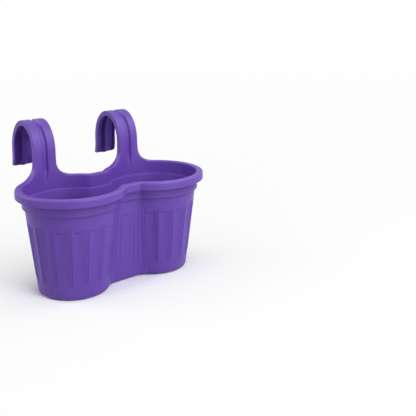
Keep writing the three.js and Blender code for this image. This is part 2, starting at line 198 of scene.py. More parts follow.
# %% Laying and stitching rows
class Skin:
    """Points that are laid row by row, and the faces between the rows."""

    def __init__(self):
        self.points = []
        self.faces = []

    def lay(self, points):
        first = len(self.points)
        self.points.extend(points)
        return list(range(first, len(self.points)))

    def strips(self, rows, left_out=()):
        """Faces between each row and the next, except at the places left out."""
        for low, high in zip(rows, rows[1:]):
            for k in range(len(low) - 1):
                if k not in left_out and k + 1 not in left_out:
                    self.faces.append((low[k], low[k + 1], high[k + 1], high[k]))

    def bands(self, rows, left_out=()):
        """The same for rows that run all the way round."""
        self.strips([[*row, row[0]] for row in rows], left_out)

    def zip_up(self, a, b):
        """Triangles between two closed rows of unlike counts, by their progress round."""
        s, t = self.progress(a), self.progress(b)
        i = j = 0
        while i < len(a) or j < len(b):
            if j == len(b) or (i < len(a) and s[i + 1] <= t[j + 1]):
                self.faces.append((a[i % len(a)], a[(i + 1) % len(a)], b[j % len(b)]))
                i += 1
            else:
                self.faces.append((a[i % len(a)], b[(j + 1) % len(b)], b[j % len(b)]))
                j += 1

    def progress(self, row):
        spots = np.array([self.points[k] for k in [*row, row[0]]])
        steps = np.linalg.norm(np.diff(spots, axis=0), axis=1)
        return np.concatenate([[0], np.cumsum(steps) / steps.sum()])


# %% One level through all four quarters, and the steps of a rounding
QUARTERS = ((1, 1), (-1, 1), (-1, -1), (1, -1))


def around(columns, place):
    """Points of one level through all four quarters, each shared column laid once."""
    points = []
    for number, (sx, sy) in enumerate(QUARTERS):
        own = list(columns[sy])
        if number % 2:
            own.reverse()
            own = own[1:]
        elif number == 2:
            own = own[1:]
        if number == 3:
            own = own[:-1]
        for column in own:
            x, y, z = place(column)
            points.append((sx * x, sy * y, z))
    return points


def quarter_turn(steps):
    """Cosine and sine at even steps of a right angle, for every small rounding."""
    angles = [math.pi / 2 * k / steps for k in range(steps + 1)]
    return [(math.cos(angle), math.sin(angle)) for angle in angles]


print("quarters run", QUARTERS)

# %% [markdown]
# ## The fluted wall
# The walls carry hollow flutes with scalloped tops, and three fine reeds stand on each ridge
# between them. Seen close, a flute is a shallow hollow that deepens upward and ends under a rounded
# lip. It could be cut out with a tool, or painted as a bump, but a cut leaves ragged edges and a
# bump casts no shadow. The columns below follow the flutes and the reeds, and the rows follow the
# scallops, so every edge runs along the mesh.

# %% Columns of the outer wall
# at gives the distance along any quarter, across the place in a flute, reed the height on a reed.
Column = namedtuple("Column", "at across reed", defaults=(None, 0.0))
FLUTE_STEPS = 7  # columns from a flute's middle to its edge, closer together near the edge
FLUTE_SHARES = [math.sin(math.pi / 2 * k / FLUTE_STEPS) for k in range(-FLUTE_STEPS, FLUTE_STEPS + 1)]
REED_PROFILE = ((-1.16, 0), (-1, 0.25), (-0.78, 0.78), (-0.42, 0.97), (0, 1))
REED_PROFILE += tuple((-side, height) for side, height in REED_PROFILE[-2::-1])
FLUTE_ANGLES = [FLUTE_PITCH * k for k in range(LOBE_FLUTES)] + [LAST_FLUTE]
FLUTE_MIDDLES = [lambda q, angle=angle: q.radius * angle for angle in FLUTE_ANGLES]
FLUTE_MIDDLES.append(lambda q: q.length)


def reed_at(q, before, after, place, side):
    """A reed column's distance along a quarter. Reeds are slimmer where their ridge is narrow."""
    ridge = after(q) - before(q) - 2 * FLUTE_HALF * q.radius
    room = REED_ROOM * REED_SHARE * ridge / REED_PROFILE[-1][0]
    half = min(REED_WIDTH * q.radius / SHOULDER_RADIUS, room) / 2
    return (before(q) + after(q)) / 2 + place * ridge + side * half


def reed_columns(before, after):
    """Columns of the three reeds on the ridge between two flutes."""
    made = []
    for k in range(REEDS):
        place = (k - (REEDS - 1) / 2) * REED_SHARE
        for side, height in REED_PROFILE:
            at = partial(reed_at, before=before, after=after, place=place, side=side)
            made.append(Column(at, reed=height))
    return made


def outer_columns():
    """A quarter's columns. Its first and last flutes are halves, which the mirrors complete."""
    made = []
    last = len(FLUTE_MIDDLES) - 1
    for k, at in enumerate(FLUTE_MIDDLES):
        low = 0 if k == 0 else -1
        high = 0 if k == last else 1
        made += [Column(at, across=share) for share in FLUTE_SHARES if low <= share <= high]
        if k < last:
            made += reed_columns(at, FLUTE_MIDDLES[k + 1])
    return made


outer_by_side = {1: outer_columns(), -1: outer_columns()}
print(len(outer_by_side[1]), "columns in each quarter of the wall")


# %% A column's point on the wall
def hollow_of(one):
    """How deep a column lies in its flute: 1 in the middle, 0 at the edge and on a ridge."""
    return 0.0 if one.across is None else 1 - one.across ** 2


def outer_place(one, z, depth=0.0, rise=0.0, inset=0.0):
    """A column's point at height z, with that depth of flute and that share of the reed."""
    q = Quarter(wall_radius(z), z)
    distance = one.at(q) + (one.across or 0) * FLUTE_HALF * q.radius
    x, y = q.walk(distance, REED_HEIGHT * one.reed * rise - depth * hollow_of(one) - inset)
    return x, y, z


def flute_depth(z):
    """Nothing at a flute's foot, growing to the full depth under its scallop."""
    share = (z - FLUTE_FOOT_Z) / (SCALLOP_Z - SCALLOP_DROP - FLUTE_FOOT_Z)
    return FLUTE_DEPTH * min(max(share, 0), 1) ** FLUTE_DEEPENS


def scallop_at(one):
    return SCALLOP_Z - SCALLOP_DROP * math.sqrt(hollow_of(one))


print("a flute is", round(flute_depth(SCALLOP_Z / 2), 2), "mm deep halfway up")

# %% Rows of the outer wall, from the ground to the shoulder
# Inset from the wall, and height.
FOOT_PROFILE = (
    (FOOT_INSET + 0.5, 0),
    (FOOT_INSET, 0.5),
    (FOOT_INSET, FOOT_GAP - 0.6),
    (FOOT_INSET - 0.6, FOOT_GAP),
    (1.6, FOOT_GAP),
    (1, FOOT_GAP + 0.1),
    (0.5, FOOT_GAP + 0.45),
    (0.15, FOOT_GAP + 1),
    (0, FOOT_GAP + 1.8),
)
# Height over the reeds' foot, and share of the reed's height.
FOOT_ROWS = ((-0.9, 0), (-0.4, 0.35), (0, 0.8), (0.6, 1))
WALL_STEPS = 8
# Height over the scallop, share of the flute's depth, and share of the reed's height.
LIP_ROWS = ((-3, 1, 1), (-1.9, 1, 1), (-1.5, 1, 0.8), (-1.2, 1, 0.35), (-1, 1, 0), (-0.75, 0.97, 0))
LIP_ROWS += ((-0.45, 0.8, 0), (0, 0.42, 0), (0.45, 0.02, 0), (0.8, -0.15, 0), (1.3, -0.17, 0))
LIP_ROWS += ((2.2, -0.06, 0), (3.6, 0, 0))
UPPER_HEIGHTS = (151, 158, SHOULDER_Z - 2, SHOULDER_Z - 0.5)


def foot_place(one, lift, rise):
    z = REED_FOOT_Z + lift
    return outer_place(one, z, flute_depth(z), rise)


def wall_place(one, share):
    """A column's point that share of the way from the reeds' foot up to the column's own lip."""
    start = REED_FOOT_Z + FOOT_ROWS[-1][0]
    z = start + (scallop_at(one) + LIP_ROWS[0][0] - start) * share
    return outer_place(one, z, flute_depth(z), 1)


def lip_place(one, lift, share, rise):
    z = scallop_at(one) + lift
    return outer_place(one, z, share * flute_depth(z), rise)


def outer_rows(skin):
    places = [partial(outer_place, z=z, inset=inset) for inset, z in FOOT_PROFILE]
    places += [partial(outer_place, z=z) for z in (FLUTE_FOOT_Z / 2, FLUTE_FOOT_Z)]
    places += [partial(foot_place, lift=lift, rise=rise) for lift, rise in FOOT_ROWS]
    places += [partial(wall_place, share=k / WALL_STEPS) for k in range(1, WALL_STEPS)]
    places += [partial(lip_place, lift=lift, share=share, rise=rise) for lift, share, rise in LIP_ROWS]
    places += [partial(outer_place, z=z) for z in UPPER_HEIGHTS]
    return [skin.lay(around(outer_by_side, place)) for place in places]


print(len(outer_rows(Skin())), "rows from the ground to the shoulder")

# %% [markdown]
# ## The sheet of a hook
# The inner wall of a pot runs straight up into the face of its hook, which goes over the rail as an
# arch and ends in a back leg that flares out a little. A curve with a thickness could give the arch,
# but not the change from the pot's round wall to the flat hook. So the hook is drawn as a sheet: a
# place across it, a distance along it and a depth behind it give a point.

# %% Places on a hook's sheet
STRAIGHT = ARCH_Z - RIM_Z
ARCH_LENGTH = math.pi * (ARCH_HALF + ARCH_RISE) / 2
HOOK_LENGTH = STRAIGHT + ARCH_LENGTH + ARCH_Z - BACK_LEG_Z


def smooth(value):
    value = min(max(value, 0), 1)
    return value * value * (3 - 2 * value)


def sheet(x, s, n):
    """Right hook: x across from its middle, s along its face from the rim's height, n behind it."""
    if s > STRAIGHT + ARCH_LENGTH:
        down = s - STRAIGHT - ARCH_LENGTH
        out = LEG_FLARE * max((down - ARCH_Z + BACK_LEG_Z) / LEG_FLARE_HEIGHT + 1, 0) ** 2
        y = FACE_RADIUS + 2 * ARCH_HALF - n + out
        return POT_X + HOOK_SHIFT + x, y, ARCH_Z - down
    if s > STRAIGHT:
        angle = math.pi * (s - STRAIGHT) / ARCH_LENGTH
        across, up = math.cos(angle), math.sin(angle)
        lean = n / math.hypot(ARCH_RISE * across, ARCH_HALF * up)
        y = FACE_RADIUS + ARCH_HALF - (ARCH_HALF - lean * ARCH_RISE) * across
        return POT_X + HOOK_SHIFT + x, y, ARCH_Z + (ARCH_RISE - lean * ARCH_HALF) * up
    z = RIM_Z + s
    angle = math.acos((HOOK_SHIFT + x) / FACE_RADIUS)
    reach = FACE_RADIUS + n
    flat = smooth((z - FLAT_FROM_Z) / (FLAT_AT_Z - FLAT_FROM_Z))
    curved_x, curved_y = reach * math.cos(angle), reach * math.sin(angle)
    at_x = curved_x + (HOOK_SHIFT + x - curved_x) * flat
    return POT_X + at_x, curved_y + (reach - curved_y) * flat, z


print("a hook's face is", round(HOOK_LENGTH, 1), "mm long from the rim's height")

# %% [markdown]
# ## The rim and the hook's edges as one ribbon
# The rim's top sweeps up along both sides of each hook, growing narrower, round the arch and down
# to the end of the back leg. Rim and flanges could be two profiles with a blend between them, but
# they are one ribbon that follows one long edge. Its section turns bit by bit from the rim's into
# the flange's: round inner edge, flat top, round outer edge, skirt and underside.

# %% The ribbon's section, from the rim's to the flange's
INNER_STEPS = 6
OUTER_STEPS = 5
EDGE_CUT = 0.5  # small chamfer at the skirt's lower end
CUT_BULGE = 0.3  # its middle lies this share of it in from the corner; a straight one has 0.5
FLANGE_EXTRA = 0.2  # a flange is this much thicker than the rim's skirt
SKIRT_SHARES = (0.35, 0.7)
UNDER_ROUND = 0.4
UNDER_SHARES = (0.12, 0.5, 0.85)
UNDER_FALL = 0.02
WEB_ROOT = 0.8  # the last point lies this far down the back of the wall
WEB_GAP = 0.05


def ribbon_section(turned, flange):
    """Pairs of n behind the face and a below the crest, for a share turned of 0 to 1."""
    inner = RIM_INNER_ROUND + (EDGE_ROUND - RIM_INNER_ROUND) * turned
    out = (RIM_INNER_ROUND + RIM_FLAT + RIM_OUTER_ROUND) * (1 - turned) + flange * turned
    outer = min(RIM_OUTER_ROUND + (FLANGE_ROUND - RIM_OUTER_ROUND) * turned, (out - inner) / 2)
    drop = SKIRT_HEIGHT * (1 - turned) + FLANGE_WALL * turned
    web = COLLAR_WALL + (HOOK_WEB - COLLAR_WALL) * turned
    under = RIM_WALL + (FLANGE_WALL - RIM_WALL) * turned
    root = max(out - RIM_WALL - FLANGE_EXTRA * turned, web + WEB_GAP)
    cut = EDGE_CUT if root + EDGE_CUT < out - EDGE_CUT else 0
    pairs = [(inner * (1 - c), inner * (1 - s)) for c, s in quarter_turn(INNER_STEPS)]
    pairs.append(((inner + out - outer) / 2, 0))
    pairs += [(out - outer * (1 - s), outer * (1 - c)) for c, s in quarter_turn(OUTER_STEPS)]
    pairs += [(out, outer + (drop - EDGE_CUT - outer) * share) for share in SKIRT_SHARES]
    pairs += [(out, drop - EDGE_CUT), (out - CUT_BULGE * EDGE_CUT, drop - CUT_BULGE * EDGE_CUT)]
    pairs += [(out - EDGE_CUT, drop), (root + cut, drop), (root, drop - EDGE_CUT * (1 - turned))]
    pairs += [(root, (under + drop) / 2), (root, under + UNDER_ROUND * (1 - turned))]
    pairs += [(root + (web - root) * share, under + UNDER_FALL * share) for share in UNDER_SHARES]
    return [*pairs, (web, under + WEB_ROOT)]


print("the ribbon's section has", len(ribbon_section(0, FLANGE_DEPTH)), "points")

# %% Places along the long edge: the sweep, the leg, the arch, the back leg and its corner
EdgePlace = namedtuple("EdgePlace", "crest out turned flange")
SWEEP_STEPS = 16
ARCH_STEPS = 30
CORNER_TURNS = 6
LEG_SHARES = (0.35, 0.7)
BACK_LEG_SHARES = (0.3, 0.6, 0.8, 0.9)
LEG_END_DEPTH = HOOK_WEB + 0.4  # the flanges run out to this at the back leg's end


def long_edge():
    """Crest (x, s) on a hook's right side, direction out of the sheet, share turned and flange."""
    places = []
    for k, (c, s) in enumerate(quarter_turn(SWEEP_STEPS)):
        crest = (HOOK_HALF + SWEEP * (1 - s), SWEEP * (1 - c))
        places.append(EdgePlace(crest, (s, c), smooth(k / SWEEP_STEPS), FLANGE_DEPTH))
    start = STRAIGHT + ARCH_LENGTH
    last = HOOK_LENGTH - LEG_CORNER
    along = [SWEEP + (STRAIGHT - SWEEP) * share for share in LEG_SHARES]
    along += [STRAIGHT + ARCH_LENGTH * k / ARCH_STEPS for k in range(ARCH_STEPS + 1)]
    along += [start + (last - start) * share for share in BACK_LEG_SHARES]
    places += [EdgePlace((HOOK_HALF, s), (1, 0), 1, FLANGE_DEPTH) for s in along]
    for k, (c, s) in enumerate(quarter_turn(CORNER_TURNS)):
        crest = (HOOK_HALF - LEG_CORNER * (1 - c), last + LEG_CORNER * s)
        flange = FLANGE_DEPTH + (LEG_END_DEPTH - FLANGE_DEPTH) * smooth(k / CORNER_TURNS)
        places.append(EdgePlace(crest, (c, s), 1, flange))
    return places


edge_places = long_edge()
print(len(edge_places), "places along each long edge")

# %% [markdown]
# ## The groove of a hook
# A rounded groove runs down the middle of each hook's face. It stiffens the hook, and it narrows
# and rises to a tip on the pot's inner wall. It could be cut with a rod, which would leave thin
# slivers at the tip. Instead the sheet's middle columns are drawn together and pushed back, each by
# its share of the groove's depth, so the groove shows as a ridge behind the hook, as it does on a
# thin moulding.

# %% The groove and the columns across a hook
GROOVE = ((0, 1), (1.8, 0.97), (3.6, 0.86), (5, 0.54), (5.8, 0.17), (6.6, 0))  # across, share of depth
GROOVE_DEPTH = 5.5
GROOVE_TIP_Z = 184
GROOVE_FULL_Z = 216  # below this it narrows and rises to its tip
GROOVE_NARROWS = 0.8
GROOVE_RISES = 1.2
GROOVE_LEAST = 0.04  # share of the width that keeps the columns apart below the tip
OUTWARD = 12


def groove_left(z):
    """What is left of the groove's width and depth at height z."""
    share = min(max((z - GROOVE_TIP_Z) / (GROOVE_FULL_Z - GROOVE_TIP_Z), 0), 1)
    return max(share ** GROOVE_NARROWS, GROOVE_LEAST), GROOVE_DEPTH * share ** GROOVE_RISES


def across_sheet(width, narrow=1.0):
    """Places across a hook from its right side to its left, with the groove's share of depth."""
    half = [(x * narrow, share) for x, share in GROOVE]
    edge = half[-1][0]
    half += [(edge + (width - edge) * k / OUTWARD, 0) for k in range(1, OUTWARD + 1)]
    return half[::-1] + [(-x, share) for x, share in half[1:]]


print("columns across a hook:", len(across_sheet(HOOK_HALF)))

# %% [markdown]
# ## Rows of the rim and the inner wall
# At the back of each pot, a hook's two feet land on the rim. The rim's columns could be spaced
# evenly, but then they would meet the hook's own columns at random. So the back quarters carry the
# hook's columns between its feet, the front quarters carry as many, and the rest is spaced evenly
# over the lobe, the hollow corner and the waist panel.

# %% Columns of the rim, the collar and the inner wall
FOOT_X = HOOK_HALF + SWEEP
FOOT_OUT = math.acos((HOOK_SHIFT + FOOT_X) / FACE_RADIUS)
FOOT_IN = math.acos((HOOK_SHIFT - FOOT_X) / FACE_RADIUS)
PLAIN_STEPS = 20
LATE_STEPS = 6
CORNER_STEPS = 8
PANEL_STEPS = 8
HOOK_COLUMNS = len(across_sheet(FOOT_X))


def rim_columns(back):
    """Kinds of place with a value: an angle on the lobe, a number on a hook, a share elsewhere."""
    made = [("lobe", FOOT_OUT * k / PLAIN_STEPS) for k in range(PLAIN_STEPS)]
    if back:
        made += [("hook", k) for k in range(HOOK_COLUMNS)]
    else:
        turn = FOOT_IN - FOOT_OUT
        made += [("lobe", FOOT_OUT + turn * k / (HOOK_COLUMNS - 1)) for k in range(HOOK_COLUMNS)]
    for kind, steps in (("late", LATE_STEPS), ("corner", CORNER_STEPS), ("panel", PANEL_STEPS)):
        made += [(kind, k / steps) for k in range(1, steps + 1)]
    return made


rim_by_side = {1: rim_columns(True), -1: rim_columns(False)}
print(len(rim_by_side[1]), "columns in each back quarter of the rim")


# %% One row of the rim
def rim_place(one, radius, z, narrow=1.0, groove=0.0):
    kind, value = one
    q = Quarter(radius, z)
    push = 0.0
    if kind == "hook":
        x, share = across_sheet(FOOT_X, narrow)[value]
        distance = radius * math.acos((HOOK_SHIFT + x) / FACE_RADIUS)
        push = groove * share
    elif kind == "lobe":
        distance = radius * value
    elif kind == "late":
        distance = radius * (FOOT_IN + (q.turn - FOOT_IN) * value)
    elif kind == "corner":
        distance = q.lobe + q.curve * value
    else:
        distance = q.lobe + q.curve + q.panel_x * value
    x, y = q.walk(distance, push)
    return x, y, z


def rim_row(skin, radius, z, narrow=1.0, groove=0.0):
    return skin.lay(around(rim_by_side, lambda c: rim_place(c, radius, z, narrow, groove)))


def grooved_row(skin, radius, z):
    """A row with what is left of the hooks' grooves at its height."""
    return rim_row(skin, radius, z, *groove_left(z))


def ring_of_hook(sx):
    """Where a hook's columns lie in a rim row, from the outer foot to the inner one."""
    if sx > 0:
        return list(range(PLAIN_STEPS, PLAIN_STEPS + HOOK_COLUMNS))
    end = 2 * len(rim_by_side[1]) - 1 - PLAIN_STEPS
    return list(range(end - 1, end - 1 - HOOK_COLUMNS, -1))


print("one row has", len(rim_row(Skin(), FACE_RADIUS, RIM_Z)), "points")

# %% [markdown]
# ## One hook
# A hook is a thin web with turned edges. It could be a solid bar, but a moulding is never that
# thick. Two sheets, the face and its back, grow out of the rim's own vertices, the ribbon runs up
# both sides between them, and a last set of rows closes the end of the back leg.


# %% The face, the back and the two edges of one hook
def edge_place(at, n, a):
    (x, s), (out_x, out_s) = at.crest, at.out
    return x - a * out_x, s - a * out_s, n


def side_of(point, sx):
    x, y, z = point
    return sx * x, y, z


def sheet_row(skin, sx, at, n, a):
    """A row across the face or the back of a hook, with what is left of the groove."""
    width, s, _ = edge_place(at, 0, a)
    narrow, depth = groove_left(RIM_Z + s)
    spots = [sheet(x, s, n + depth * share) for x, share in across_sheet(width, narrow)]
    return skin.lay([side_of(spot, sx) for spot in spots])


def lay_hook(skin, sx, face_row, back_row, rim_rows):
    """Adds one hook. face_row and back_row are the rim's rows that its two sheets grow from."""
    own = ring_of_hook(sx)
    face = [[face_row[k] for k in own]]
    back = [[back_row[k] for k in own]]
    right = [[row[own[0]] for row in rim_rows]]
    left = [[row[own[-1]] for row in rim_rows]]
    for at in edge_places[1:]:
        pairs = ribbon_section(at.turned, at.flange)
        face.append(sheet_row(skin, sx, at, *pairs[0]))
        back.append(sheet_row(skin, sx, at, *pairs[-1]))
        inner = [edge_place(at, n, a) for n, a in pairs[1:-1]]
        for side, ribbon, end in ((1, right, 0), (-1, left, -1)):
            spots = [side_of(sheet(side * x, s, n), sx) for x, s, n in inner]
            ribbon.append([face[-1][end], *skin.lay(spots), back[-1][end]])
    for rows in (face, back, right, left):
        skin.strips(rows)
    close_leg(skin, sx, face[-1], back[-1], right[-1], left[-1])


def close_leg(skin, sx, face_row, back_row, right_row, left_row):
    """Fills the end of the back leg between its face, its back and its two edges."""
    at = edge_places[-1]
    pairs = ribbon_section(at.turned, at.flange)
    width = edge_place(at, 0, pairs[0][1])[0]
    rows = [right_row]
    for k, (x, share) in enumerate(across_sheet(width)[1:-1], start=1):
        spots = [sheet(x, at.crest[1] - a, n + GROOVE_DEPTH * share) for n, a in pairs[1:-1]]
        laid = skin.lay([side_of(spot, sx) for spot in spots])
        rows.append([face_row[k], *laid, back_row[k]])
    skin.strips([*rows, left_row])


print("a hook's back leg ends", BACK_LEG_Z, "mm above the ground")

# %% [markdown]
# ## Raised floors with drain holes
# Each pot's floor has a raised round disc with a drain hole, and the plug's head lies on it. A disc
# and a hole could be cut out of a flat floor, but turned rows are cleaner: one small profile runs
# from the ground, up through the hole and over the disc, and is spun round the pot's axis.

# %% The recess, the hole and the disc of one pot
ROUND_SEGMENTS = 72
RECESS_CUT = 0.8
HOLE_CUT = 0.3
DISC_CUT = 1


def circle(skin, radius, z, x):
    turns = [2 * math.pi * k / ROUND_SEGMENTS for k in range(ROUND_SEGMENTS)]
    return skin.lay([(x + radius * math.cos(t), radius * math.sin(t), z) for t in turns])


def lay_recess(skin, x):
    """From the recess under a pot, through the drain hole, to the raised floor inside."""
    top = RECESS_HEIGHT + FLOOR
    disc = RECESS_RADIUS + FLOOR
    profile = (
        (RECESS_RADIUS, 0),
        (RECESS_RADIUS, RECESS_HEIGHT - RECESS_CUT),
        (RECESS_RADIUS - RECESS_CUT, RECESS_HEIGHT),
        (HOLE_RADIUS + HOLE_CUT, RECESS_HEIGHT),
        (HOLE_RADIUS, RECESS_HEIGHT + HOLE_CUT),
        (HOLE_RADIUS, top - HOLE_CUT),
        (HOLE_RADIUS + HOLE_CUT, top),
        (disc - DISC_CUT, top),
        (disc, top - DISC_CUT),
        (disc, FLOOR),
    )
    rows = [circle(skin, radius, z, x) for radius, z in profile]
    skin.bands(rows)
    return rows[0], rows[-1]


print("the raised floors lie at", RECESS_HEIGHT + FLOOR, "mm")

# %% [markdown]
# ## One closed moulding
# The rows are now laid in the order in which a finger would trace them: up the outer wall, round
# the collar, under the rim, over it, down the inside and across the floor. The parts could be made
# apart and welded, but laid in one skin they share their vertices and need no weld.

# %% Rows of the collar, the rim and the inside
COLLAR_STEPS = 4
BAND_SHARES = (0, 0.25, 0.5, 0.75)  # from the groove's tip up to the rim
LEDGE_CORNER = ((0.15, 1.2), (-0.25, 0.3), (-0.9, 0))  # outward of the collar's inside, and up
LEDGE_ROUND = 0.8
INNER_HEIGHTS = (155, 130, 105, 80, 55, 35, 18)
FLOOR_STEPS = 6


def collar_rows(skin, section):
    """From the shoulder, round the collar's lower edge, up to the rim's underside."""
    rows = [rim_row(skin, SHOULDER_RADIUS + 1, SHOULDER_Z)]
    for c, s in quarter_turn(COLLAR_STEPS):
        radius = COLLAR_RADIUS - COLLAR_ROUND * (1 - s)
        rows.append(rim_row(skin, radius, SHOULDER_Z + COLLAR_ROUND * (1 - c)))
    under_n, under_a = section[-1]
    top = RIM_Z - under_a
    foot = SHOULDER_Z + COLLAR_ROUND
    slope = (FACE_RADIUS + under_n - COLLAR_RADIUS) / (top - foot)
    for share in BAND_SHARES:
        z = GROOVE_TIP_Z + (top - GROOVE_TIP_Z) * share
        rows.append(grooved_row(skin, COLLAR_RADIUS + slope * (z - foot), z))
    return rows


def brim_rows(skin, section):
    """From under the rim, round its skirt and over its top, to the inner wall."""
    under_n, under_a = section[-1]
    rows = [grooved_row(skin, FACE_RADIUS + under_n, RIM_Z - under_a)]
    rows += [rim_row(skin, FACE_RADIUS + n, RIM_Z - a) for n, a in section[-2:0:-1]]
    return [*rows, grooved_row(skin, FACE_RADIUS, RIM_Z - section[0][1])]


def ledge_profile(ledge_out):
    """The step inside the pots: a soft hollow corner, the flat, and a rounded edge."""
    wall_in = wall_radius(LEDGE_Z) - WALL
    bulge = CUT_BULGE * LEDGE_ROUND
    pairs = [(ledge_out + out, LEDGE_Z + up) for out, up in LEDGE_CORNER]
    pairs += [(wall_in + LEDGE_ROUND, LEDGE_Z), (wall_in + bulge, LEDGE_Z - bulge)]
    return [*pairs, (wall_in, LEDGE_Z - LEDGE_ROUND)]


def inside_rows(skin, section):
    """From the rim down the inner wall, over the ledge, to the edge of the floor."""
    brim = RIM_Z - section[0][1]
    ledge_out = COLLAR_RADIUS - COLLAR_WALL
    lean = (FACE_RADIUS - ledge_out) / (brim - LEDGE_Z)
    rows = []
    for share in BAND_SHARES[::-1]:
        z = GROOVE_TIP_Z + (brim - GROOVE_TIP_Z) * share
        rows.append(grooved_row(skin, FACE_RADIUS - lean * (brim - z), z))
    rows += [rim_row(skin, radius, z) for radius, z in ledge_profile(ledge_out)]
    rows += [rim_row(skin, wall_radius(z) - WALL, z) for z in INNER_HEIGHTS]
    bend = FLOOR + FLOOR_ROUND
    centre = wall_radius(bend) - WALL - FLOOR_ROUND
    for c, s in quarter_turn(FLOOR_STEPS):
        rows.append(rim_row(skin, centre + FLOOR_ROUND * c, bend - FLOOR_ROUND * s))
    return rows


print("the ledge inside is", round(COLLAR_RADIUS - COLLAR_WALL - wall_radius(LEDGE_Z) + WALL, 1), "mm wide")


# %% The whole moulding
def lay_moulding():
    """The skin, and the closed rows that border each of its two flat floors."""
    skin = Skin()
    section = ribbon_section(0, FLANGE_DEPTH)
    wall = outer_rows(skin)
    collar = collar_rows(skin, section)
    over = brim_rows(skin, section)
    inside = inside_rows(skin, section)
    skin.bands(wall)
    skin.zip_up(wall[-1], collar[0])
    skin.bands([*collar, over[0]])
    skin.bands([over[-1], *inside])
    skin.bands(over, left_out={*ring_of_hook(1)[1:-1], *ring_of_hook(-1)[1:-1]})
    for sx in (1, -1):
        lay_hook(skin, sx, over[-1], over[0], over[::-1])
    under, upper = zip(*[lay_recess(skin, sx * POT_X) for sx in (1, -1)])
    return skin, ((wall[0], *under), (inside[-1], *upper))


moulding, flats = lay_moulding()
print(len(moulding.points), "vertices and", len(moulding.faces), "faces before the floors")

# %% [markdown]
# ## From rows to a mesh
# The rows become a mesh, and the two flat floors are filled between their outline and the round
# discs. The floors could be rows too, but no even rows fit between an outline with a waist and two
# circles, and on a flat the triangles of a fill don't show.


# %% Mesh helpers
def mesh_object(name, points, faces):
    mesh = bpy.data.meshes.new(name)
    mesh.from_pydata([Vector(p) * MM for p in points], [], faces)
    made = bpy.data.objects.new(name, mesh)
    bpy.context.scene.collection.objects.link(made)
    return made


def fill_flat(work, rows):
    work.verts.ensure_lookup_table()
    edges = []
    for row in rows:
        for a, b in zip(row, [*row[1:], row[0]]):
            edge = work.edges.get((work.verts[a], work.verts[b]))
            edges.append(edge or work.edges.new((work.verts[a], work.verts[b])))
    bmesh.ops.triangle_fill(work, use_beauty=True, edges=edges)


def close_and_smooth(made, flats=()):
    """Fills the flats, turns every face outward and smooths it, and counts the open edges."""
    work = bmesh.new()
    work.from_mesh(made.data)
    for rows in flats:
        fill_flat(work, rows)
    bmesh.ops.recalc_face_normals(work, faces=work.faces)
    for face in work.faces:
        face.smooth = True
    open_edges = sum(not edge.is_manifold for edge in work.edges)
    work.to_mesh(made.data)
    work.free()
    return open_edges


# %% The moulded body as an object
body = mesh_object("moulded_planter", moulding.points, moulding.faces)
print("open edges in the moulding:", close_and_smooth(body, flats))

# %% [markdown]
# ## The rim behind each hook
# Behind each hook the rim runs on as a short length between the hook's feet, and it meets the back
# of the hook's wall there. Rows for it would have to branch out of the hook's back. So here, and
# only here, a separate piece is swept along the gap, sunk a little into its wall, and joined with a
# union, as the plastic is one there too.

# %% The rim's short length behind each hook
REACH_STEPS = 40
TUCK = 0.04  # kept inside the rim's own faces by this, so that no faces coincide
CLEAR_OF_WALL = 0.3
SKIRT_FROM = 8
SUNK_AT = 0.9  # the piece starts this far behind the face, within the wall


def back_rim(sx):
    section = [(n, a) for n, a in ribbon_section(0, FLANGE_DEPTH) if n > COLLAR_WALL + CLEAR_OF_WALL]
    section = [(n - TUCK if n > SKIRT_FROM else n, a + TUCK) for n, a in section]
    section = [(SUNK_AT, section[0][1]), *section, (SUNK_AT, section[-1][1])]
    skin = Skin()
    rows = []
    for k in range(REACH_STEPS + 1):
        angle = FOOT_OUT + (FOOT_IN - FOOT_OUT) * k / REACH_STEPS
        spots = []
        for n, a in section:
            reach = FACE_RADIUS + n
            spots.append((sx * (POT_X + reach * math.cos(angle)), reach * math.sin(angle), RIM_Z - a))
        rows.append(skin.lay(spots))
    skin.bands(rows)
    skin.faces.append(tuple(rows[0]))
    skin.faces.append(tuple(reversed(rows[-1])))
    return mesh_object("back_rim", skin.points, skin.faces)


def join(made, other):
    union = made.modifiers.new("join", "BOOLEAN")
    union.operation = "UNION"
    union.solver = "MANIFOLD"
    union.object = other
    graph = bpy.context.evaluated_depsgraph_get()
    finished = bpy.data.meshes.new_from_object(made.evaluated_get(graph))
    made.modifiers.clear()
    made.data = finished
    bpy.data.objects.remove(other)


for sx in (1, -1):
    length = back_rim(sx)
    print("open edges in the back rim:", close_and_smooth(length))
    join(body, length)

# %% [markdown]
# ## Clean joins and soft edges
# A union leaves corners that nearly coincide, and now and then two faces back to back. They are
# too small to see, but they spoil the shading and the mesh, so they are merged or dropped.
# Rounded edges need soft shading as well. A bevel could give them, but the rows already carry the
# small roundings, so weighted normals are enough: they keep the flats flat and the roundings soft.

# %% Clean the joins
SAME_PLACE = 0.000002  # corners of a union that lie this close, in metres, are one corner


def drop_slivers(made):
    """Merges the near-double corners that a union leaves, and drops faces that lie back to back."""
    work = bmesh.new()
    work.from_mesh(made.data)
    bmesh.ops.triangulate(work, faces=[face for face in work.faces if len(face.verts) > 4])
    bmesh.ops.remove_doubles(work, verts=work.verts, dist=SAME_PLACE)
    bmesh.ops.dissolve_degenerate(work, edges=work.edges, dist=SAME_PLACE)
    by_corners = {}
    for face in work.faces:
        by_corners.setdefault(frozenset(vert.index for vert in face.verts), []).append(face)
    twins = [face for faces in by_corners.values() if len(faces) > 1 for face in faces]
    bmesh.ops.delete(work, geom=twins, context="FACES")
    work.to_mesh(made.data)
    work.free()
    return len(twins)


print("faces back to back:", drop_slivers(body))
print("open edges after joining:", close_and_smooth(body))

